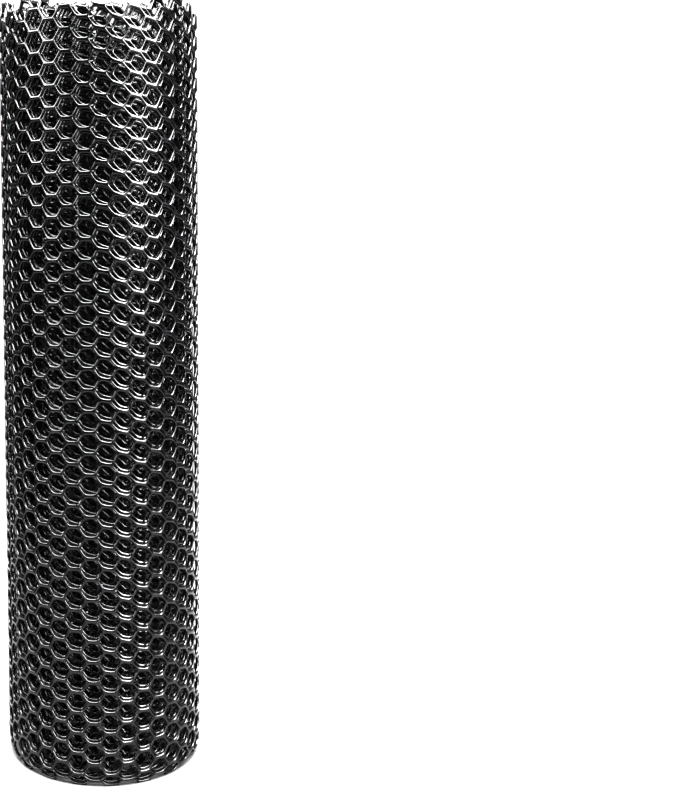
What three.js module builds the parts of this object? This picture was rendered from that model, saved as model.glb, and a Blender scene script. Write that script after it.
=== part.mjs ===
// Roll of black plastic mesh: one extruded sheet of hexagonal netting, wound loosely
// round an open core and stood on its cut edge.
//
// The sheet is one closed solid: a spiral strip as thick as the net's strands, whose
// turns lie a little apart. Its cells are finer than this solid and are not cut in it.
// Units are millimetres, +Z is up, and the origin is the middle of the base.

import * as THREE from 'three';

// Driving dimensions.
const ROLL_HEIGHT = 600;          // width of the sheet, from rim to rim
const SHEET_THICKNESS = 2.2;      // height of a strand, front to back
const COLUMN_WIDTH = 13.2;        // one column of hexagonal cells, along the sheet
const OUTER_TURN_COLUMNS = 36;    // columns in the outer turn, round from where the cells line up
const COLUMNS_LOST_PER_TURN = 2;  // each turn inward is this many columns shorter
const TURNS = 7.625;              // winds up a sheet 3.04 m long
const OUTER_END_ANGLE = THREE.MathUtils.degToRad(85); // the outer end lies at the back
const LINED_UP_ANGLE = THREE.MathUtils.degToRad(155); // cells of all turns line up this far round
const SECTIONS_PER_TURN = 72;

// Unevenness of the wind: an oval that all turns share, and a slow sway from turn to
// turn that lets them bunch and part.
const OVAL_RISE = 0.5;
const OVAL_ANGLE = THREE.MathUtils.degToRad(35);
const SWAY_RISE = 0.45;
const SWAYS_PER_TURN = 0.62;

// Worked out from the above.
const FULL_TURN = 2 * Math.PI;
const TURN_SPACING = (COLUMNS_LOST_PER_TURN * COLUMN_WIDTH) / FULL_TURN;
const RADIUS_LOST_PER_RADIAN = TURN_SPACING / FULL_TURN;
const LINED_UP_RADIUS = (OUTER_TURN_COLUMNS * COLUMN_WIDTH) / FULL_TURN; // mean, of the turn from there
const OUTER_END_RADIUS = LINED_UP_RADIUS + RADIUS_LOST_PER_RADIAN * (LINED_UP_ANGLE + FULL_TURN / 2);

/** Radius of the sheet's middle surface, a given angle in from the outer end. */
function windRadius(wound) {
  const direction = OUTER_END_ANGLE + wound;
  const oval = OVAL_RISE * Math.cos(2 * (direction - OVAL_ANGLE));
  const sway = SWAY_RISE * Math.sin(SWAYS_PER_TURN * wound);
  return OUTER_END_RADIUS - RADIUS_LOST_PER_RADIAN * wound + oval + sway;
}

/** Point in plan, offset outwards from the middle surface. */
function windPoint(wound, offset) {
  const radius = windRadius(wound) + offset;
  const direction = OUTER_END_ANGLE + wound;
  return new THREE.Vector2(radius * Math.cos(direction), radius * Math.sin(direction));
}

/** Closed outline of the wound strip: along its outer face, and back along its inner. */
function sheetOutline() {
  const sections = TURNS * SECTIONS_PER_TURN;
  const angles = Array.from({ length: sections + 1 }, (_, i) => (TURNS * FULL_TURN * i) / sections);
  const outerFace = angles.map((wound) => windPoint(wound, SHEET_THICKNESS / 2));
  const innerFace = angles.map((wound) => windPoint(wound, -SHEET_THICKNESS / 2));
  return [...outerFace, ...innerFace.reverse()];
}

/** The outline moved so that its bounding box is centred on the origin. */
function centred(points) {
  const middle = new THREE.Box2().setFromPoints(points).getCenter(new THREE.Vector2());
  return points.map((point) => point.clone().sub(middle));
}

/** The whole sheet, wound up and standing on its edge. */
function woundSheet() {
  const outline = new THREE.Shape(centred(sheetOutline()));
  const geometry = new THREE.ExtrudeGeometry(outline, { depth: ROLL_HEIGHT, bevelEnabled: false });
  const blackPlastic = new THREE.MeshStandardMaterial({
    name: 'black_plastic',
    color: 0x0d0d0e,
    roughness: 0.28,
    metalness: 0,
  });
  const mesh = new THREE.Mesh(geometry, blackPlastic);
  mesh.name = 'mesh_sheet';
  return mesh;
}

const roll = new THREE.Group();
roll.name = 'mesh_roll';
roll.add(woundSheet());

export default roll;
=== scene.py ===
"""Looks of a roll of black plastic netting that stands on its cut edge.

The sheet is one length of extruded netting. Its strands run along the sheet and are
bonded in pairs, so that each hexagonal cell has a bar above and below it. The net is
made flat, cell by cell, and each point is then laid on the wound spiral.

All lengths are in metres and all angles are in radians. A column is one step of cells
along the sheet, and a row is one step of cells up it. The first turn is the outer one.
"""

import logging
import math
from dataclasses import dataclass, field, replace
from enum import Enum

import bpy
import numpy as np
from mathutils import Matrix, Vector


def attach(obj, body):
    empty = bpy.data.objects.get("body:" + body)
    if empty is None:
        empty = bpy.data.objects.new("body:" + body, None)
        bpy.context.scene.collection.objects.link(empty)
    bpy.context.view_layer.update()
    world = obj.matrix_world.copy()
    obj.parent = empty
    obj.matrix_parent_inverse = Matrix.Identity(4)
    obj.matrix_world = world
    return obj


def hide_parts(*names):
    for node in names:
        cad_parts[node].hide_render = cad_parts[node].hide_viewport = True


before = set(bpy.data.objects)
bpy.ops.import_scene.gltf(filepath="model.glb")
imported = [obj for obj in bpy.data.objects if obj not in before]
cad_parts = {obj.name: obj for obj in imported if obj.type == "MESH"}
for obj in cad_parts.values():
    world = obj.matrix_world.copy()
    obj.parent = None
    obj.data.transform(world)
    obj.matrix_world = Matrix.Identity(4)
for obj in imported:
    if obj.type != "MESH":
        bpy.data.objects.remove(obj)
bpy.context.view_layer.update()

TAU = 2 * math.pi
STRAND_MAP = "strand"  # the UV map that gives a point's place on its strand
log = logging.getLogger("mesh_roll")


class Fineness(Enum):
    """How finely a length of net is cut into faces.

    Each is the number of steps along a side of a cell, and the points of a strand's
    section, as shares of the way from its ridge to its edge.
    """

    FINE = (4, (0.0, 0.5, 0.86, 1.0))
    MEDIUM = (4, (0.0, 0.72, 1.0))
    COARSE = (2, (0.0, 0.72, 1.0))
    PLAIN = (2, (0.0, 1.0))

    @property
    def side_steps(self) -> int:
        """Steps along each side of a cell."""
        return self.value[0]

    @property
    def section(self) -> tuple[float, ...]:
        """Points of a strand's section, from its ridge (0) to its edge (1)."""
        return self.value[1]


def eased(value: np.ndarray, low: float, high: float) -> np.ndarray:
    """Rises smoothly from 0 at low to 1 at high.

    Args:
        value: Values to ease.
        low: Value at which the rise begins.
        high: Value at which it ends.

    Returns:
        Shares from 0 to 1.
    """
    share = np.clip((value - low) / (high - low), 0, 1)
    return share * share * (3 - 2 * share)


def scattered(column: np.ndarray, half_row: np.ndarray) -> np.ndarray:
    """An uneven share for each strand, which is the same on every run.

    Args:
        column: The column that each strand starts in.
        half_row: The half row that it starts at.

    Returns:
        Shares from 0 to 1 that follow no visible order.
    """
    column_step, half_row_step, scale = 12.9898, 78.233, 43758.5453
    noise = np.sin(column * column_step + half_row * half_row_step) * scale
    return noise - np.floor(noise)


class Rise(Enum):
    """How a value rises between two others: in a straight line, or eased at both ends."""

    STRAIGHT = "LINEAR"
    SMOOTH = "SMOOTHSTEP"


def risen(
    tree: bpy.types.NodeTree,
    value: bpy.types.NodeSocket,
    span: tuple[float, float],
    ends: tuple[float, float],
    rise: Rise,
) -> bpy.types.NodeSocket:
    """Adds a node that rises as a value crosses a span.

    Args:
        tree: The nodes to add it to.
        value: The value that crosses the span.
        span: Where the rise begins and ends.
        ends: The result before the span, and beyond it.
        rise: How it rises.

    Returns:
        The result.
    """
    node = tree.nodes.new("ShaderNodeMapRange")
    node.interpolation_type = rise.value
    for name, number in zip(("From Min", "From Max", "To Min", "To Max"), (*span, *ends)):
        node.inputs[name].default_value = number
    tree.links.new(value, node.inputs["Value"])
    return node.outputs["Result"]


@dataclass(frozen=True)
class Wander:
    """How the netting strays from true as it is wound.

    Its rows climb and fall and its columns slip in waves, each of which is (size in rows,
    length along the sheet, phase). The waves are absent for steady_length of sheet, which
    is the outer turn and a half, and they grow to their full size over growth_length.
    Rows also bow up at half height, and columns shift on near the top. Sizes are in rows,
    and each other pair is where a change begins and ends.
    """

    row: float = 0.01633
    rows: float = 36.5
    climbs: tuple[tuple[float, float, float], ...] = ((0.30, 0.90, 2.58), (0.15, 1.22, 2.37))
    slips: tuple[tuple[float, float, float], ...] = ((0.30, 0.52, 2.0),)
    steady_length: float = 0.74
    growth_length: float = 0.40
    # The climbs fade out over this many rows at the base, and by this share at the top.
    rim_rows: float = 2.5
    top_fade: float = 0.5
    bow: float = 0.10
    bow_lengths: tuple[float, float] = (0.35, 0.70)
    twist: float = 0.13
    twist_heights: tuple[float, float] = (0.55, 0.9)
    twist_lengths: tuple[float, float] = (0.70, 0.75)

    @staticmethod
    def _waves(along: np.ndarray, waves: tuple[tuple[float, float, float], ...]) -> np.ndarray:
        """Sum of the waves, in rows."""
        return sum(size * np.sin(TAU * along / length + phase) for size, length, phase in waves)

    def _grown(self, along: np.ndarray) -> np.ndarray:
        """Share of their full size that the waves have grown to."""
        return eased(along, self.steady_length, self.steady_length + self.growth_length)

    def climb(self, along: np.ndarray, share: np.ndarray) -> np.ndarray:
        """How far the rows lie above true.

        Args:
            along: Lengths along the sheet from its outer end.
            share: Heights, as shares of the sheet's width.

        Returns:
            Distances upwards, which fade out at the base.
        """
        bow = self.bow * np.sin(math.pi * share) * eased(along, *self.bow_lengths)
        height = share * self.rows
        at_base = eased(height, 0, self.rim_rows)
        at_top = 1 - self.top_fade * eased(height, self.rows - self.rim_rows, self.rows)
        waves = self._waves(along, self.climbs) * self._grown(along)
        return self.row * (waves * (at_base * at_top) + bow)

    def slip(self, along: np.ndarray, share: np.ndarray) -> np.ndarray:
        """How far the columns lie past true.

        Args:
            along: Lengths along the sheet from its outer end.
            share: Heights, as shares of the sheet's width.

        Returns:
            Distances along the sheet.
        """
        inward = eased(along, *self.twist_lengths)
        twist = self.twist * eased(share, *self.twist_heights) * inward
        return self.row * (self._waves(along, self.slips) * self._grown(along) + twist)


@dataclass(frozen=True)
class Winding:
    """The spiral that the sheet is wound to.

    The sizes as far as sections_per_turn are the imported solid's. The others set how the
    net lies on it.
    """

    height: float = 0.600
    sheet_thickness: float = 0.0022
    column_width: float = 0.0132
    outer_turn_columns: int = 36
    columns_lost_per_turn: int = 2
    turns: float = 7.625
    outer_end_angle: float = math.radians(85)
    lined_up_angle: float = math.radians(155)
    oval_rise: float = 0.0005
    oval_angle: float = math.radians(35)
    sway_rise: float = 0.00045
    sways_per_turn: float = 0.62
    sections_per_turn: int = 72
    # How much wider the roll is at its base: as a share of its radius, and as a length.
    base_spread: float = 0.0068
    base_flare: float = 0.0007
    # How far the columns are moved along the sheet, and how much further at the top.
    start_shift: float = 0.0030
    lean: float = -0.0061
    wander: Wander = field(default_factory=Wander)
    # The spiral is worked out at this many angles, and a little beyond both its ends.
    table_points: int = 8001
    table_margin: float = 0.2
    # How the base is tucked in: flat height, the height it comes to, and how far inwards.
    tuck: tuple[tuple[float, float, float], ...] = (
        (-0.0100, 0.0000, 0.0026),
        (-0.0063, 0.0011, 0.0022),
        (0.0019, 0.0048, 0.0012),
        (0.0101, 0.0090, 0.0003),
        (0.0182, 0.0180, 0.0),
        (0.0264, 0.0264, 0.0),
    )

    @property
    def lost_per_radian(self) -> float:
        """Radius that the spiral loses for each radian wound."""
        return self.columns_lost_per_turn * self.column_width / TAU**2

    @property
    def outer_end_radius(self) -> float:
        """Radius of the sheet's middle surface at its outer end."""
        lined_up = self.outer_turn_columns * self.column_width / TAU
        return lined_up + self.lost_per_radian * (self.lined_up_angle + math.pi)

    def radius(self, wound: np.ndarray) -> np.ndarray:
        """Radius of the middle surface.

        Args:
            wound: Angles in from the outer end.

        Returns:
            The radius at each angle.
        """
        direction = self.outer_end_angle + wound
        oval = self.oval_rise * np.cos(2 * (direction - self.oval_angle))
        sway = self.sway_rise * np.sin(self.sways_per_turn * wound)
        return self.outer_end_radius - self.lost_per_radian * wound + oval + sway

    def plan(self, wound: np.ndarray, radius: np.ndarray) -> np.ndarray:
        """Points in plan, before the roll is centred.

        Args:
            wound: Angles in from the outer end.
            radius: The radius at each angle.

        Returns:
            An array of x and y, one row for each angle.
        """
        direction = self.outer_end_angle + wound
        return np.stack((radius * np.cos(direction), radius * np.sin(direction)), axis=-1)

    def centre(self) -> np.ndarray:
        """Middle of the wound sheet's bounding box, which is the frame's origin.

        Returns:
            Its x and y.
        """
        sections = round(self.sections_per_turn * self.turns)
        wound = np.linspace(0, self.turns * TAU, sections + 1)
        outside = self.plan(wound, self.radius(wound) + self.sheet_thickness / 2)
        return (outside.min(axis=0) + outside.max(axis=0)) / 2

    def arc_table(self) -> tuple[np.ndarray, np.ndarray]:
        """Length of sheet used up to each angle wound.

        Returns:
            Lengths along the sheet from its outer end, and the angles that they reach.
        """
        margin = self.table_margin
        wound = np.linspace(-margin, self.turns * TAU + margin, self.table_points)
        radius = self.radius(wound)
        middle = (radius[1:] + radius[:-1]) / 2
        steps = np.hypot(np.diff(radius), middle * np.diff(wound))
        along = np.concatenate(([0.0], np.cumsum(steps)))
        return along - np.interp(0.0, wound, along), wound

    def length(self) -> float:
        """Length of the whole sheet."""
        along, wound = self.arc_table()
        return float(np.interp(self.turns * TAU, wound, along))

    def columns(self) -> int:
        """Number of whole columns in the sheet."""
        return int(self.length() / self.column_width)

    def place(self, along: np.ndarray, height: np.ndarray, proud: np.ndarray) -> np.ndarray:
        """Lays points of the flat sheet on the spiral.

        The roll is wound a little wider at its base, so its turns' cells drift past each
        other from rim to rim. Its lowest edge is then tucked in.

        Args:
            along: Lengths along the sheet from its outer end.
            height: Heights above the base.
            proud: Distances outwards from the sheet's middle surface.

        Returns:
            An array of x, y and z, one row for each point.
        """
        share = height / self.height
        spread = 1 + self.base_spread * (1 - share)
        flat, upright, inward = np.array(self.tuck).T
        tucked = height < flat[-1]
        proud = proud - np.interp(height, flat, inward) + self.base_flare * (1 - share)
        height = np.where(tucked, np.interp(height, flat, upright), height)
        height = np.maximum(height + self.wander.climb(along, share), 0.0)
        along = along + self.wander.slip(along, share) + self.start_shift + self.lean * share
        wound = np.interp(along / spread, *self.arc_table())
        points = self.plan(wound, self.radius(wound) * spread + proud) - self.centre()
        return np.column_stack((points, height))


@dataclass(frozen=True)
class Netting:
    """The flat net: columns of hexagonal cells, each half a row up or down from the next.

    Heights are counted in half rows. An even column's bars lie on the odd half rows and an
    odd column's on the even ones, and the slanting strands cross from one to the next.
    """

    column_width: float
    height: float
    # Half rows in the height, the room past the last ones, and how many more of them are
    # tucked in under the base.
    half_rows: int = 73
    rim_margin: float = 0.0019
    tucked_half_rows: int = 1
    # Length of a bar, as a share of a column, and the strands' sizes in front view.
    bar_share: float = 0.61
    bar_width: float = 0.0030
    strand_width: float = 0.0016
    # How far a strand's ridge stands out from the sheet's middle surface, on each side.
    bar_rise: float = 0.0013
    strand_rise: float = 0.0012
    # How square a strand's section is: 2 is an ellipse, and more is squarer.
    section_power: int = 3
    # How sharp a hole's corners are, at its left and right and beside its bars, and how
    # closely the first of these keeps to the left and right.
    side_corner_power: float = 40.0
    bar_corner_power: float = 5.5
    side_corner_focus: int = 4
    # How closely a bar's greater rise keeps to it, where slanting strands run into it.
    node_focus: int = 6
    # Length that is left of a cut strand, as a share of a cell's side, and its spread.
    stub_share: float = 0.17
    stub_spread: float = 0.12
    # Slope of the bars, and the columns and the half rows over which it sets in.
    bar_tilt: float = math.radians(14)
    tilted_columns: tuple[float, float] = (18.0, 19.5)
    tilted_half_rows: tuple[float, float] = (4.0, 16.0)
    # Shares of a column and of a bar by which they are uneven.
    column_unevenness: float = 0.022
    bar_unevenness: float = 0.035
    seed: int = 7

    @property
    def half_row(self) -> float:
        """Height of half a row of cells."""
        return (self.height - 2 * self.rim_margin) / self.half_rows

    @property
    def first_height(self) -> float:
        """Flat height of the lowest half row, part of which is tucked in under the base."""
        return self.rim_margin - self.tucked_half_rows * self.half_row

    def columns(self, count: int) -> tuple[np.ndarray, np.ndarray]:
        """Where the columns lie, with one more at each end for the cells that are cut open.

        Args:
            count: Number of whole columns in the sheet.

        Returns:
            How far along the sheet each column's middle is, and half its bars' length.
        """
        draw = np.random.default_rng(self.seed)
        shifts = draw.uniform(-1, 1, count + 2) * self.column_unevenness * self.column_width
        stretch = 1 + draw.uniform(-1, 1, count + 2) * self.bar_unevenness
        middles = (np.arange(-1, count + 1) + 0.5) * self.column_width + shifts
        return middles, self.column_width * self.bar_share / 2 * stretch


@dataclass(frozen=True)
class CutEdges:
    """The half rows at which each column of the sheet starts and ends."""

    lowest: np.ndarray
    highest: np.ndarray


@dataclass(frozen=True)
class Cut:
    """How the sheet was cut at its base and its top. Rises are in half rows.

    Both edges wander by about a row. They stand higher at the left and the right of the
    roll, at the base on the outer turns alone, and the innermost turns start a row higher
    all round. A span of sides is from 0, at the front and back, to 1 at the left and right.
    """

    unevenness: float = 0.45
    base_rise: float = 1.4
    base_sides: tuple[float, float] = (0.70, 1.0)
    base_lengths: tuple[float, float] = (0.40, 1.0)
    inner_rise: float = 2.0
    inner_lengths: tuple[float, float] = (1.70, 1.80)
    highest_start: int = 3
    top_rise: float = 0.7
    top_sides: tuple[float, float] = (0.5, 0.95)
    seed: int = 8

    def edges(self, winding: Winding, netting: Netting) -> CutEdges:
        """Works out where each column starts and ends.

        Args:
            winding: The spiral that the sheet is wound to.
            netting: Sizes of the flat net.

        Returns:
            The cut edges of the whole sheet.
        """
        count = winding.columns()
        along = (np.arange(count) + 0.5) * netting.column_width
        direction = winding.outer_end_angle + np.interp(along, *winding.arc_table())
        sideways = np.abs(np.cos(direction))
        draw = np.random.default_rng(self.seed)
        uneven = draw.uniform(-self.unevenness, self.unevenness, (2, count))
        outer = self.base_rise * (1 - eased(along, *self.base_lengths))
        inner = self.inner_rise * eased(along, *self.inner_lengths)
        raised = outer * eased(sideways, *self.base_sides) + inner
        lowest = np.round(raised + uneven[0]).astype(int)
        top = netting.half_rows + netting.tucked_half_rows
        grown = np.round(self.top_rise * eased(sideways, *self.top_sides) + uneven[1])
        return CutEdges(np.clip(lowest, 0, self.highest_start), top + grown.astype(int))


class CellRing:
    """The ring of half strands round every cell of a length of net.

    Each cell has six sides, taken anticlockwise from its bottom bar. A side's points run
    along the strand's ridge, and a profile of points crosses from the ridge in front, over
    the edge of the hole, to the ridge behind.
    """

    SIDES = 6
    BARS = (0, 3)
    # Each side's first node, as steps of (column, half row) from the cell's middle.
    NODES = ((0, -1), (0, -1), (1, 0), (0, 1), (0, 1), (-1, 0))
    # Which end of that column's bar the node is: -1 left, +1 right.
    ENDS = (-1, 1, -1, 1, -1, 1)
    # How far points are drawn towards the ends of a side: this share of it for each step.
    CROWDING = 0.009

    def __init__(self, netting: Netting, cut: CutEdges, fineness: Fineness) -> None:
        """Works out the shape of a cell in each column.

        Args:
            netting: Sizes of the flat net.
            cut: Where each column of the sheet starts and ends.
            fineness: How finely the cells are cut into faces.
        """
        self.netting = netting
        self.cut = cut
        self.columns = len(cut.lowest)
        self.steps = fineness.side_steps
        self.middles, self.half_bars = netting.columns(self.columns)
        tilted = eased(np.arange(-1, self.columns + 1), *netting.tilted_columns)
        self.tilts = math.sin(netting.bar_tilt) * tilted * self.half_bars
        self.step_shares = self._step_shares()
        self.across, self.rise = self._profile(np.array(fineness.section))

    def _step_shares(self) -> np.ndarray:
        """Where the points lie along a side: closer together near its ends."""
        even = np.linspace(0, 1, self.steps, endpoint=False)
        return even - self.CROWDING * self.steps * np.sin(TAU * even)

    def _profile(self, across: np.ndarray) -> tuple[np.ndarray, np.ndarray]:
        """Section of a strand, from the ridge in front round to the ridge behind.

        Args:
            across: Shares of the way from ridge to hole edge.

        Returns:
            The shares for the whole section, and how far it stands out at each, from 1 at
            the ridge in front to -1 at the ridge behind.
        """
        power = self.netting.section_power
        rise = (1 - across**power) ** (1 / power)
        around = np.concatenate((across, across[-2::-1]))
        return around, np.concatenate((rise, -rise[-2::-1]))

    def exists(self, column: np.ndarray, half_row: np.ndarray) -> np.ndarray:
        """Whether the sheet has a bar in these columns at these half rows.

        Args:
            column: Columns to look in.
            half_row: Half rows to look at.

        Returns:
            True for each bar that is there.
        """
        inside = (column >= 0) & (column < self.columns)
        index = np.clip(column, 0, self.columns - 1)
        inside &= (half_row >= self.cut.lowest[index]) & (half_row <= self.cut.highest[index])
        return inside & ((half_row - column) % 2 == 1)

    def corners(self, column: np.ndarray, half_row: np.ndarray) -> np.ndarray:
        """The six corners of cells, where strands meet.

        Args:
            column: Each cell's column.
            half_row: The half row that each cell's middle lies on.

        Returns:
            An array of (cell, corner, along and height).
        """
        net = self.netting
        found = np.empty((len(column), self.SIDES, 2))
        for side, ((over, up), end) in enumerate(zip(self.NODES, self.ENDS)):
            index = np.clip(column + over + 1, 0, self.columns + 1)
            beyond = (column + over + 1 - index) * net.column_width
            found[:, side, 0] = self.middles[index] + beyond + end * self.half_bars[index]
            found[:, side, 1] = (half_row + up) * net.half_row
            tilted = eased(half_row + up, *net.tilted_half_rows)
            found[:, side, 1] -= end * self.tilts[index] * tilted
        found[..., 1] += net.first_height
        return found

    def ridges(self, corners: np.ndarray) -> np.ndarray:
        """Points along the middle of the strands round each cell.

        Args:
            corners: The cells' corners.

        Returns:
            An array of (cell, ring point, along and height).
        """
        following = np.roll(corners, -1, axis=1)
        shares = self.step_shares[None, None, :, None]
        points = corners[:, :, None] * (1 - shares) + following[:, :, None] * shares
        return points.reshape(len(corners), -1, 2)

    def hole_edges(self, corners: np.ndarray, ridges: np.ndarray) -> np.ndarray:
        """Edge of the hole opposite each ridge point: a hexagon with rounded corners.

        Args:
            corners: The cells' corners.
            ridges: The cells' ridge points.

        Returns:
            An array like ridges, of points on the rim of the hole.
        """
        net = self.netting
        middle = (corners[:, 0] + corners[:, 1] + corners[:, 3] + corners[:, 4]) / 4
        away = ridges - middle[:, None]
        reach = np.linalg.norm(away, axis=-1, keepdims=True)
        away = away / reach
        edge = np.roll(corners, -1, axis=1) - corners
        normal = np.stack((edge[..., 1], -edge[..., 0]), axis=-1)
        normal /= np.linalg.norm(normal, axis=-1, keepdims=True)
        widths = np.array([net.bar_width, net.strand_width, net.strand_width] * 2)
        inset = ((corners - middle[:, None]) * normal).sum(axis=-1) - widths / 2
        facing = np.einsum("cpx,csx->cps", away, normal).clip(0) / inset[:, None]
        sideways = away[..., 0] ** net.side_corner_focus
        sharper = net.side_corner_power - net.bar_corner_power
        power = net.bar_corner_power + sharper * sideways
        radius = (facing ** power[..., None]).sum(axis=-1) ** (-1 / power)
        return middle[:, None] + away * radius[..., None]

    def rises(self) -> np.ndarray:
        """How far each point stands out from the sheet's middle surface.

        Returns:
            An array of (ring point, profile point).
        """
        net = self.netting
        share = np.tile(self.step_shares, self.SIDES)
        side = np.repeat(np.arange(self.SIDES), self.steps)
        on_bar = np.isin(side, self.BARS).astype(float)
        at_node = np.cos(math.pi * np.minimum(share, 1 - share)) ** net.node_focus
        full = np.maximum(on_bar, at_node)
        outward = net.strand_rise + (net.bar_rise - net.strand_rise) * full
        return outward[:, None] * self.rise[None]


class NetPatch:
    """A run of columns of the net as one closed mesh, still flat."""

    # The sides of a cell that slant, those on its left, and those below its middle, all
    # numbered as in CellRing.
    SLANTS = (1, 2, 4, 5)
    LEFT_SLANTS = (4, 5)
    LOWER_SLANTS = (1, 5)

    def __init__(self, ring: CellRing, first: int, last: int) -> None:
        """Chooses the cells that have a strand in these columns.

        Args:
            ring: The shape of the cells.
            first: First column of the run.
            last: The column after the run's last.
        """
        self.ring = ring
        self.first = first
        self.last = last
        top = ring.cut.highest.max() + 1
        columns, half_rows = np.meshgrid(
            np.arange(first - 1, last + 1), np.arange(-1, top + 1), indexing="ij"
        )
        cells = (half_rows - columns) % 2 == 0
        self.column = columns[cells]
        self.half_row = half_rows[cells]

    def _kept_steps(self) -> tuple[np.ndarray, np.ndarray, np.ndarray]:
        """Which steps round each cell belong to the run.

        A slanting strand with a bar at one end only is a stub: it keeps the step next to
        that bar. A slanting strand between two runs is shared at its middle.

        Returns:
            Kept steps as (cell, step), and the sides whose stub is held at their first
            node and at their last, as (cell, side).
        """
        ring, steps = self.ring, self.ring.steps
        kept = np.zeros((len(self.column), ring.SIDES * steps), dtype=bool)
        opening = np.zeros((len(self.column), ring.SIDES), dtype=bool)
        closing = np.zeros_like(opening)
        for side in range(ring.SIDES):
            start, end = ring.NODES[side], ring.NODES[(side + 1) % ring.SIDES]
            start_column, end_column = self.column + start[0], self.column + end[0]
            has_start = ring.exists(start_column, self.half_row + start[1])
            has_end = ring.exists(end_column, self.half_row + end[1])
            opening[:, side] = has_start & ~has_end
            closing[:, side] = has_end & ~has_start
            for step in range(steps):
                near_start = step < steps / 2
                owner = start_column if near_start else end_column
                there = has_start & has_end
                there |= opening[:, side] & (step == 0)
                there |= closing[:, side] & (step == steps - 1)
                mine = (owner >= self.first) & (owner < self.last)
                kept[:, side * steps + step] = there & mine
        return kept, opening, closing

    def _stub_lengths(self, side: int) -> np.ndarray:
        """Length of a cell side's stub, uneven from strand to strand.

        The two cells that share a strand count it in the same column and half row, so they
        find the same length.

        Args:
            side: The side, counted as in CellRing.

        Returns:
            Shares of the side's length, one for each cell.
        """
        net = self.ring.netting
        boundary = self.column - (side in self.LEFT_SLANTS)
        level = self.half_row - (side in self.LOWER_SLANTS)
        return net.stub_share + net.stub_spread * scattered(boundary, level)

    def _cut_stubs(self, points: np.ndarray, opening: np.ndarray, closing: np.ndarray) -> None:
        """Draws the far ends of stubs back towards the bars that hold them.

        Args:
            points: The cells' points, as (cell, ring point, profile point, axis), changed
                in place.
            opening: Sides whose stub is held at their first node.
            closing: Sides whose stub is held at their last node.
        """
        steps, count = self.ring.steps, points.shape[1]
        first_share = self.ring.step_shares[1]
        for side in self.SLANTS:
            lengths = self._stub_lengths(side) / first_share
            for marked, root, tip in (
                (opening[:, side], side * steps, side * steps + 1),
                (closing[:, side], (side + 1) * steps % count, (side + 1) * steps - 1),
            ):
                share = lengths[marked][:, None, None]
                base = points[marked, root]
                points[marked, tip] = base + (points[marked, tip] - base) * share

    def build(self) -> tuple[np.ndarray, np.ndarray, np.ndarray, np.ndarray]:
        """Makes the run's mesh.

        Returns:
            Points as (along, height, proud); four-sided faces; each point's place on its
            strand, as (along, around); and the cap faces at cut ends.
        """
        ring = self.ring
        corners = ring.corners(self.column, self.half_row)
        ridges = ring.ridges(corners)
        edges = ring.hole_edges(corners, ridges)
        across = ring.across[None, None, :, None]
        flat = ridges[:, :, None] * (1 - across) + edges[:, :, None] * across
        proud = np.broadcast_to(ring.rises()[None, ..., None], (*flat.shape[:3], 1))
        points = np.concatenate((flat, proud), axis=-1)
        kept, opening, closing = self._kept_steps()
        self._cut_stubs(points, opening, closing)
        index = np.arange(points[..., 0].size).reshape(points.shape[:3])
        following = np.roll(index, -1, axis=1)
        quads = np.stack(
            (index[..., :-1], following[..., :-1], following[..., 1:], index[..., 1:]), axis=-1
        )[kept]
        before = np.roll(kept, 1, axis=1)
        starts = index[kept & ~before]
        ends = index[before & ~kept][:, ::-1]
        grain = self._grain(points)
        return points.reshape(-1, 3), quads.reshape(-1, 4), grain, np.concatenate((starts, ends))

    def _grain(self, points: np.ndarray) -> np.ndarray:
        """Place of each point on its strand, which the draw lines follow.

        Args:
            points: The cells' points, as (cell, ring point, profile point, axis).

        Returns:
            How far along the sheet and how far round the strand each point lies.
        """
        steps = np.linalg.norm(np.diff(points[..., 1:], axis=2), axis=-1)
        start = np.zeros_like(steps[..., :1])
        around = np.concatenate((start, np.cumsum(steps, axis=2)), axis=2)
        return np.stack((points[..., 0], around), axis=-1).reshape(-1, 2)


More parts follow.
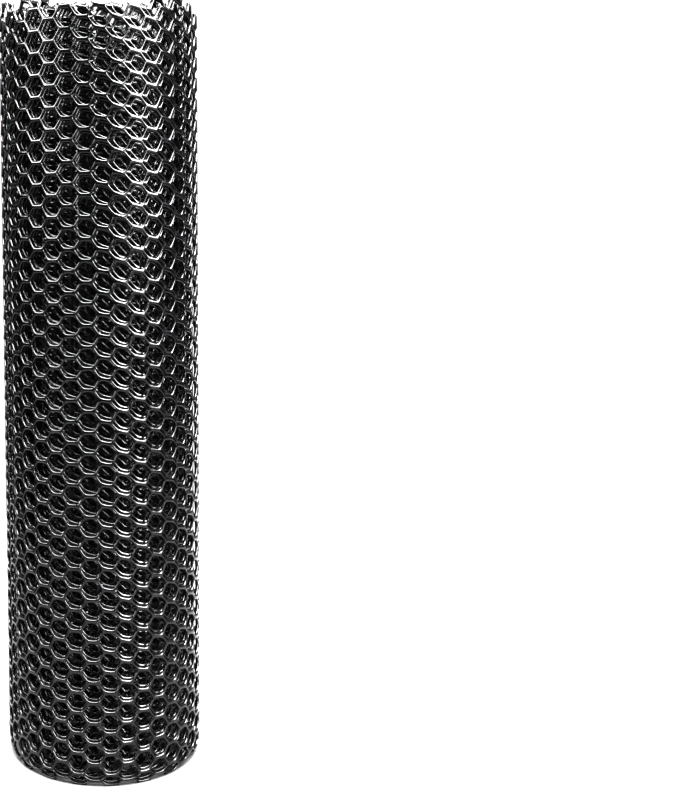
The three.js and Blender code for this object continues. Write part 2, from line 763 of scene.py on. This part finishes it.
@dataclass(frozen=True)
class BlackPlastic:
    """Finish of the net: glossy black polyethylene, faintly rippled and lined."""

    name: str = "black_plastic_strand"
    deep: tuple[float, float, float] = (0.0012, 0.0012, 0.0014)
    worn: tuple[float, float, float] = (0.0040, 0.0040, 0.0045)
    specular: float = 0.5
    refraction: float = 1.5
    gloss: float = 0.11
    dull: float = 0.22
    # The mottle's noise over which the plastic turns from glossy to dull, and from deep
    # black to worn.
    dull_span: tuple[float, float] = (0.3, 0.7)
    worn_span: tuple[float, float] = (0.35, 0.75)
    mottle_size: float = 0.006
    mottle_detail: float = 3.0
    # Width of a draw line, and that width as a share of the line's length.
    line_pitch: float = 0.00025
    line_slimness: float = 0.02
    line_depth: float = 0.000003
    line_detail: float = 1.0
    ripple_size: float = 0.0016
    ripple_depth: float = 0.00002
    ripple_detail: float = 2.0

    def material(self) -> bpy.types.Material:
        """Makes the node material.

        Returns:
            The material.
        """
        made = bpy.data.materials.new(self.name)
        made.use_nodes = True
        tree = made.node_tree
        tree.nodes.clear()
        output = tree.nodes.new("ShaderNodeOutputMaterial")
        shader = tree.nodes.new("ShaderNodeBsdfPrincipled")
        shader.inputs["Specular IOR Level"].default_value = self.specular
        shader.inputs["IOR"].default_value = self.refraction
        tree.links.new(shader.outputs["BSDF"], output.inputs["Surface"])
        place = tree.nodes.new("ShaderNodeTexCoord").outputs["Object"]
        mottle = self._noise(tree, place, 1 / self.mottle_size, self.mottle_detail)
        tree.links.new(self._worn_colour(tree, mottle), shader.inputs["Base Color"])
        rough = risen(tree, mottle, self.dull_span, (self.gloss, self.dull), Rise.STRAIGHT)
        tree.links.new(rough, shader.inputs["Roughness"])
        ripple = self._noise(tree, place, 1 / self.ripple_size, self.ripple_detail)
        rippled = self._bump(tree, ripple, self.ripple_depth)
        lined = self._bump(tree, self._draw_lines(tree), self.line_depth, rippled)
        tree.links.new(lined, shader.inputs["Normal"])
        return made

    @staticmethod
    def _noise(
        tree: bpy.types.NodeTree, place: bpy.types.NodeSocket, scale: float, detail: float
    ) -> bpy.types.NodeSocket:
        """Adds a noise texture.

        Args:
            tree: The material's nodes.
            place: Where on the surface the noise is read.
            scale: How many of its lumps there are in a unit of place.
            detail: How many finer layers it has.

        Returns:
            The noise's value.
        """
        noise = tree.nodes.new("ShaderNodeTexNoise")
        noise.inputs["Scale"].default_value = scale
        noise.inputs["Detail"].default_value = detail
        tree.links.new(place, noise.inputs["Vector"])
        return noise.outputs["Fac"]

    def _worn_colour(
        self, tree: bpy.types.NodeTree, mottle: bpy.types.NodeSocket
    ) -> bpy.types.NodeSocket:
        """Adds a colour ramp from the deep black to the worn one.

        Args:
            tree: The material's nodes.
            mottle: How worn the plastic is.

        Returns:
            The ramp's colour.
        """
        ramp = tree.nodes.new("ShaderNodeValToRGB")
        stops = zip(ramp.color_ramp.elements, self.worn_span, (self.deep, self.worn))
        for stop, position, colour in stops:
            stop.position = position
            stop.color = (*colour, 1)
        tree.links.new(mottle, ramp.inputs["Fac"])
        return ramp.outputs["Color"]

    @staticmethod
    def _bump(
        tree: bpy.types.NodeTree,
        height: bpy.types.NodeSocket,
        depth: float,
        under: bpy.types.NodeSocket | None = None,
    ) -> bpy.types.NodeSocket:
        """Adds a bump of a real depth.

        Args:
            tree: The material's nodes.
            height: Height of the bump, from 0 to 1.
            depth: What a height of 1 comes to.
            under: Normal of a bump that this one lies over.

        Returns:
            The bumped normal.
        """
        bump = tree.nodes.new("ShaderNodeBump")
        bump.inputs["Strength"].default_value = 1.0
        bump.inputs["Distance"].default_value = depth
        tree.links.new(height, bump.inputs["Height"])
        if under is not None:
            tree.links.new(under, bump.inputs["Normal"])
        return bump.outputs["Normal"]

    def _draw_lines(self, tree: bpy.types.NodeTree) -> bpy.types.NodeSocket:
        """Adds the fine lines that the die leaves along each strand.

        Args:
            tree: The material's nodes.

        Returns:
            Height of the lines, from 0 to 1.
        """
        strand = tree.nodes.new("ShaderNodeUVMap")
        strand.uv_map = STRAND_MAP
        stretch = tree.nodes.new("ShaderNodeMapping")
        along, around = self.line_slimness / self.line_pitch, 1 / self.line_pitch
        stretch.inputs["Scale"].default_value = (along, around, 1)
        tree.links.new(strand.outputs["UV"], stretch.inputs["Vector"])
        return self._noise(tree, stretch.outputs["Vector"], 1.0, self.line_detail)


@dataclass
class MeshSheet:
    """The wound sheet of netting, made as runs of columns that meet end to end."""

    winding: Winding = field(default_factory=Winding)
    cut: Cut = field(default_factory=Cut)
    finish: BlackPlastic = field(default_factory=BlackPlastic)
    node: str = "mesh_sheet"
    slot: str = "black_plastic"
    # Share of the flat sheet that is plastic and not holes.
    plastic_share: float = 0.36
    # The plain inner turns show only through the outer ones. Their strands are this much
    # wider, which darkens the holes that they lie behind.
    inner_stoutness: float = 1.5
    # Points nearer to each other than this are one point.
    weld: float = 1e-7

    # How each turn is made, from the outer one in: its fineness and number of pieces.
    TURNS = (
        (Fineness.FINE, 3),
        (Fineness.MEDIUM, 2),
        (Fineness.COARSE, 1),
        *[(Fineness.PLAIN, 1)] * 5,
    )

    def netting(self, stoutness: float = 1.0) -> Netting:
        """Sizes of the flat net, whose strands are made stouter where asked."""
        net = Netting(column_width=self.winding.column_width, height=self.winding.height)
        return replace(
            net, bar_width=net.bar_width * stoutness, strand_width=net.strand_width * stoutness
        )

    def runs(self) -> list[tuple[str, Fineness, int, int]]:
        """How the sheet is shared out into pieces.

        Returns:
            Each piece's name, fineness, first column and the column after its last.
        """
        along, wound = self.winding.arc_table()
        width = self.winding.column_width
        found = []
        start = 0
        for turn, (fineness, pieces) in enumerate(self.TURNS, start=1):
            stop = round(float(np.interp(turn * TAU, wound, along)) / width)
            stop = self.winding.columns() if turn == len(self.TURNS) else stop
            cuts = [start + round((stop - start) * part / pieces) for part in range(pieces + 1)]
            for part, (first, last) in enumerate(zip(cuts, cuts[1:]), start=1):
                found.append((f"mesh_turn_{turn}_part_{part}", fineness, first, last))
            start = stop
        return found

    def build(self) -> list[bpy.types.Object]:
        """Makes, dresses and declares every run.

        Returns:
            The pieces, from the outer end in.
        """
        material = self.finish.material()
        cut = self.cut.edges(self.winding, self.netting())
        made = []
        for name, fineness, first, last in self.runs():
            stoutness = self.inner_stoutness if fineness is Fineness.PLAIN else 1.0
            ring = CellRing(self.netting(stoutness), cut, fineness)
            piece = self._piece(name, NetPatch(ring, first, last))
            piece.data.materials.append(material)
            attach(piece, "root")
            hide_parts(self.node)
            faces = len(piece.data.polygons)
            log.info("%s: columns %d to %d, %d faces", name, first, last, faces)
            made.append(piece)
        return made

    def _welded(self, points: np.ndarray) -> tuple[np.ndarray, np.ndarray]:
        """Finds the points that neighbouring cells share.

        Args:
            points: Points of the flat net, as (point, along, height and proud).

        Returns:
            Which points to keep, and which kept point stands for each point.
        """
        # Each point's place on the weld's grid makes one number. With these steps, no two
        # different places in this net make the same one.
        steps = np.array([1 << 38, 1 << 16, 1], dtype=np.int64)
        keys = np.round(points / self.weld).astype(np.int64) @ steps
        _, chosen, merged = np.unique(keys, return_index=True, return_inverse=True)
        return chosen, merged.ravel()

    def _piece(self, name: str, patch: NetPatch) -> bpy.types.Object:
        """Lays a flat run on the spiral and makes it an object.

        Args:
            name: The piece's name.
            patch: The flat run.

        Returns:
            The piece.
        """
        points, quads, grain, caps = patch.build()
        corners = np.concatenate((quads.ravel(), caps.ravel()))
        used = np.unique(corners)
        chosen, merged = self._welded(points[used])
        lookup = np.zeros(len(points), dtype=np.int64)
        lookup[used] = merged
        along, height, proud = points[used[chosen]].T
        mesh = bpy.data.meshes.new(name)
        faces = [*lookup[quads].tolist(), *lookup[caps].tolist()]
        mesh.from_pydata(self.winding.place(along, height, proud).tolist(), [], faces)
        smooth = np.arange(len(faces)) < len(quads)
        mesh.polygons.foreach_set("use_smooth", smooth)
        layer = mesh.uv_layers.new(name=STRAND_MAP)
        layer.data.foreach_set("uv", grain[corners].ravel())
        mesh.validate()
        mesh.update()
        piece = bpy.data.objects.new(name, mesh)
        bpy.context.scene.collection.objects.link(piece)
        return piece


class Reach(Enum):
    """What a light falls on, told by one thing: that thing alone, or all but that thing."""

    ALONE = "INCLUDE"
    ALL_BUT = "EXCLUDE"


@dataclass(frozen=True)
class Softbox:
    """A rectangular soft light: where it stands, what it faces, its size and radiance."""

    name: str
    place: tuple[float, float, float]
    aim: tuple[float, float, float]
    size: tuple[float, float]
    radiance: float

    def build(self, linked: bpy.types.Object, reach: Reach) -> bpy.types.Object:
        """Makes the light, with the power that gives its face the set radiance.

        Args:
            linked: The one thing that tells what the light falls on.
            reach: Whether it falls on that thing alone or on all the others.

        Returns:
            The light.
        """
        data = bpy.data.lights.new(self.name, "AREA")
        data.shape = "RECTANGLE"
        data.size, data.size_y = self.size
        data.energy = self.radiance * math.pi * self.size[0] * self.size[1]
        light = bpy.data.objects.new(self.name, data)
        light.location = self.place
        light.visible_camera = False
        receivers = bpy.data.collections.new(f"{self.name}_receivers")
        receivers.objects.link(linked)
        receivers.collection_objects[0].light_linking.link_state = reach.value
        light.light_linking.receiver_collection = receivers
        facing = (Vector(self.aim) - Vector(self.place)).to_track_quat("-Z", "Y")
        light.rotation_euler = facing.to_euler()
        bpy.context.scene.collection.objects.link(light)
        return light


@dataclass(frozen=True)
class Studio:
    """A pale floor, soft light and the camera."""

    floor_size: float = 1.5
    floor_colour: tuple[float, float, float] = (0.88, 0.88, 0.88)
    floor_roughness: float = 0.9
    # The view's gamma: below 1 it deepens the dark tones.
    contrast: float = 0.74
    backdrop: float = 1.15
    # Light from all round: its strength in front and behind, and what is added to it level
    # with the eye and above. It rises between these parts of a direction of length 1.
    room_light: tuple[float, float] = (0.03, 0.4)
    room_span: tuple[float, float] = (0.2, 0.95)
    top_light: tuple[float, float] = (0.0, 1.5)
    top_span: tuple[float, float] = (0.35, 0.9)
    camera_distance: float = 0.9485
    camera_height: float = 0.4504
    camera_tilt: float = math.radians(5.08)
    camera_roll: float = math.radians(-0.54)
    lens: float = 51.64  # millimetres
    shift: tuple[float, float] = (0.2949, -0.1173)
    softboxes: tuple[Softbox, ...] = (
        Softbox("softbox_overhead", (0.20, -0.50, 3.00), (0.0, -0.1, 0.3), (4.0, 2.6), 38),
        Softbox("softbox_key", (1.00, -1.00, 2.70), (0.0, 0.0, 0.3), (1.4, 1.2), 48),
        Softbox("softbox_right", (2.10, -1.50, 1.60), (0.0, 0.0, 0.3), (2.4, 1.4), 54),
        Softbox("softbox_left", (-2.65, -0.80, 1.40), (0.0, 0.0, 0.3), (2.6, 1.0), 34),
        Softbox("softbox_fill", (2.10, -2.00, 0.75), (0.0, 0.0, 0.4), (2.0, 1.5), 12),
    )
    # The softboxes pass the floor by. This light whitens it, and lights nothing else.
    floor_light: Softbox = Softbox(
        "floor_light", (0.0, 0.0, 1.5), (0.0, 0.0, 0.0), (1.6, 1.6), 8
    )

    def build(self) -> None:
        """Makes the whole setting."""
        self._camera()
        self._surround()
        floor = self._floor()
        for softbox in self.softboxes:
            softbox.build(floor, Reach.ALL_BUT)
        self.floor_light.build(floor, Reach.ALONE)

    def _camera(self) -> None:
        """Makes the camera, upright but for its small tilt and roll."""
        data = bpy.data.cameras.new("camera")
        data.lens = self.lens
        data.shift_x, data.shift_y = self.shift
        camera = bpy.data.objects.new("camera", data)
        camera.matrix_world = (
            Matrix.Translation((0, -self.camera_distance, self.camera_height))
            @ Matrix.Rotation(math.pi / 2 - self.camera_tilt, 4, "X")
            @ Matrix.Rotation(self.camera_roll, 4, "Z")
        )
        bpy.context.scene.collection.objects.link(camera)
        bpy.context.scene.camera = camera

    def _floor(self) -> bpy.types.Object:
        """Makes the floor.

        Returns:
            The floor.
        """
        half = self.floor_size / 2
        corners = [(-half, -half, 0), (half, -half, 0), (half, half, 0), (-half, half, 0)]
        mesh = bpy.data.meshes.new("floor")
        mesh.from_pydata(corners, [], [(0, 1, 2, 3)])
        floor = bpy.data.objects.new("floor", mesh)
        bpy.context.scene.collection.objects.link(floor)
        material = bpy.data.materials.new("floor")
        material.use_nodes = True
        shader = material.node_tree.nodes["Principled BSDF"]
        shader.inputs["Base Color"].default_value = (*self.floor_colour, 1)
        shader.inputs["Roughness"].default_value = self.floor_roughness
        shader.inputs["Specular IOR Level"].default_value = 0.0
        mesh.materials.append(material)
        return floor

    def _surround(self) -> None:
        """Makes the light all round, pale above and behind, and the white backdrop."""
        world = bpy.data.worlds.new("surround")
        world.use_nodes = True
        tree = world.node_tree
        tree.nodes.clear()
        place = tree.nodes.new("ShaderNodeTexCoord")
        axes = tree.nodes.new("ShaderNodeSeparateXYZ")
        tree.links.new(place.outputs["Generated"], axes.inputs["Vector"])
        behind = risen(tree, axes.outputs["Y"], self.room_span, self.room_light, Rise.SMOOTH)
        above = risen(tree, axes.outputs["Z"], self.top_span, self.top_light, Rise.SMOOTH)
        both = tree.nodes.new("ShaderNodeMath")
        both.operation = "ADD"
        tree.links.new(behind, both.inputs[0])
        tree.links.new(above, both.inputs[1])
        room = tree.nodes.new("ShaderNodeBackground")
        tree.links.new(both.outputs["Value"], room.inputs["Strength"])
        backdrop = tree.nodes.new("ShaderNodeBackground")
        backdrop.inputs["Strength"].default_value = self.backdrop
        seen = tree.nodes.new("ShaderNodeLightPath")
        choice = tree.nodes.new("ShaderNodeMixShader")
        tree.links.new(seen.outputs["Is Camera Ray"], choice.inputs["Fac"])
        tree.links.new(room.outputs["Background"], choice.inputs[1])
        tree.links.new(backdrop.outputs["Background"], choice.inputs[2])
        output = tree.nodes.new("ShaderNodeOutputWorld")
        tree.links.new(choice.outputs["Shader"], output.inputs["Surface"])
        for background in (room, backdrop):
            background.inputs["Color"].default_value = (1, 1, 1, 1)
        bpy.context.scene.world = world
        view = bpy.context.scene.view_settings
        view.view_transform = "Standard"
        view.gamma = self.contrast


def main() -> None:
    """Builds the setting and the roll."""
    logging.basicConfig(level=logging.INFO, format="%(message)s")
    Studio().build()
    pieces = MeshSheet().build()
    polygons = [polygon for piece in pieces for polygon in piece.data.polygons]
    triangles = sum(len(polygon.vertices) - 2 for polygon in polygons)
    log.info("%d pieces, %d triangles", len(pieces), triangles)


if __name__ == "__main__":
    main()
